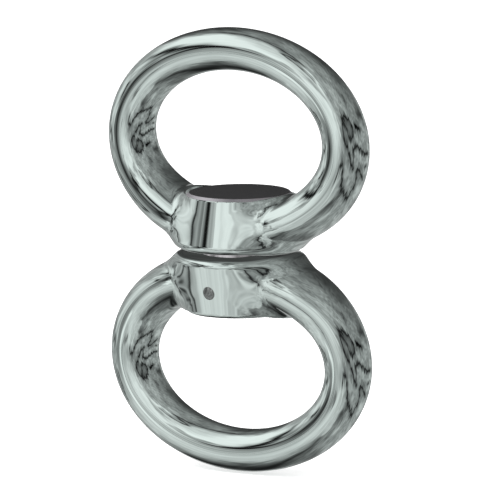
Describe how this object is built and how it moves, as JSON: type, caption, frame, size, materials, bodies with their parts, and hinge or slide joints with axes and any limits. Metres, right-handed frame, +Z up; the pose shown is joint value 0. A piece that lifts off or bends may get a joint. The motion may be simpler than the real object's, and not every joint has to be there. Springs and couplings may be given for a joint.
{
  "type": "swivel hoist ring",
  "caption": "Chromed eye-to-eye lifting swivel: oval forged eyes on cone-shaped hubs, the lower one turning freely under the upper on a bolt and a ball thrust bearing.",
  "frame": {"origin": "on the swivel axis, midway in the gap between the hubs", "axes": "+Z up the swivel axis towards the upper eye; both eyes lie in the XZ plane at rest; the lock pin runs along Y"},
  "size_m": [0.1338, 0.0568, 0.2],
  "materials": {
    "eye_chrome": "polished chrome plate on forged steel",
    "blackened_cover": "black oxide, with a turned bright chamfer",
    "turned_steel": "fine turned",
    "pin_steel": "peened ends",
    "bolt_steel": "phosphated",
    "bearing_steel": "ground",
    "bush_bronze": "bored bronze",
    "cage_brass": "pressed brass",
    "seal_rubber": "moulded nitrile"
  },
  "bodies": {
    "upper": {"upper_eye": "eye_chrome", "cover_disc": "blackened_cover", "cover_seal": "seal_rubber", "hub_bush": "bush_bronze", "grease_seal": "seal_rubber", "bearing_housing_washer": "bearing_steel"},
    "cage": {"ball_cage": "cage_brass", "bearing_ball_1": "bearing_steel", "bearing_ball_2": "bearing_steel", "bearing_ball_3": "bearing_steel", "bearing_ball_4": "bearing_steel", "bearing_ball_5": "bearing_steel", "bearing_ball_6": "bearing_steel", "bearing_ball_7": "bearing_steel", "bearing_ball_8": "bearing_steel", "bearing_ball_9": "bearing_steel", "bearing_ball_10": "bearing_steel", "bearing_ball_11": "bearing_steel", "bearing_ball_12": "bearing_steel"},
    "lower": {"bearing_shaft_washer": "bearing_steel", "swivel_bolt": "bolt_steel", "spacer_washer": "turned_steel", "lower_eye": "eye_chrome", "lock_pin": "pin_steel"}
  },
  "joints": [
    {"name": "swivel", "type": "hinge", "parent": "upper", "child": "lower", "pos_m": [0, 0, 0], "axis": [0, 0, 1], "continuous": true},
    {"name": "cage_orbit", "type": "hinge", "parent": "upper", "child": "cage", "pos_m": [0, 0, 0], "axis": [0, 0, 1], "continuous": true}
  ],
  "couplings": [
    {"joint": "cage_orbit", "follows": "swivel", "ratio": 0.5}
  ]
}
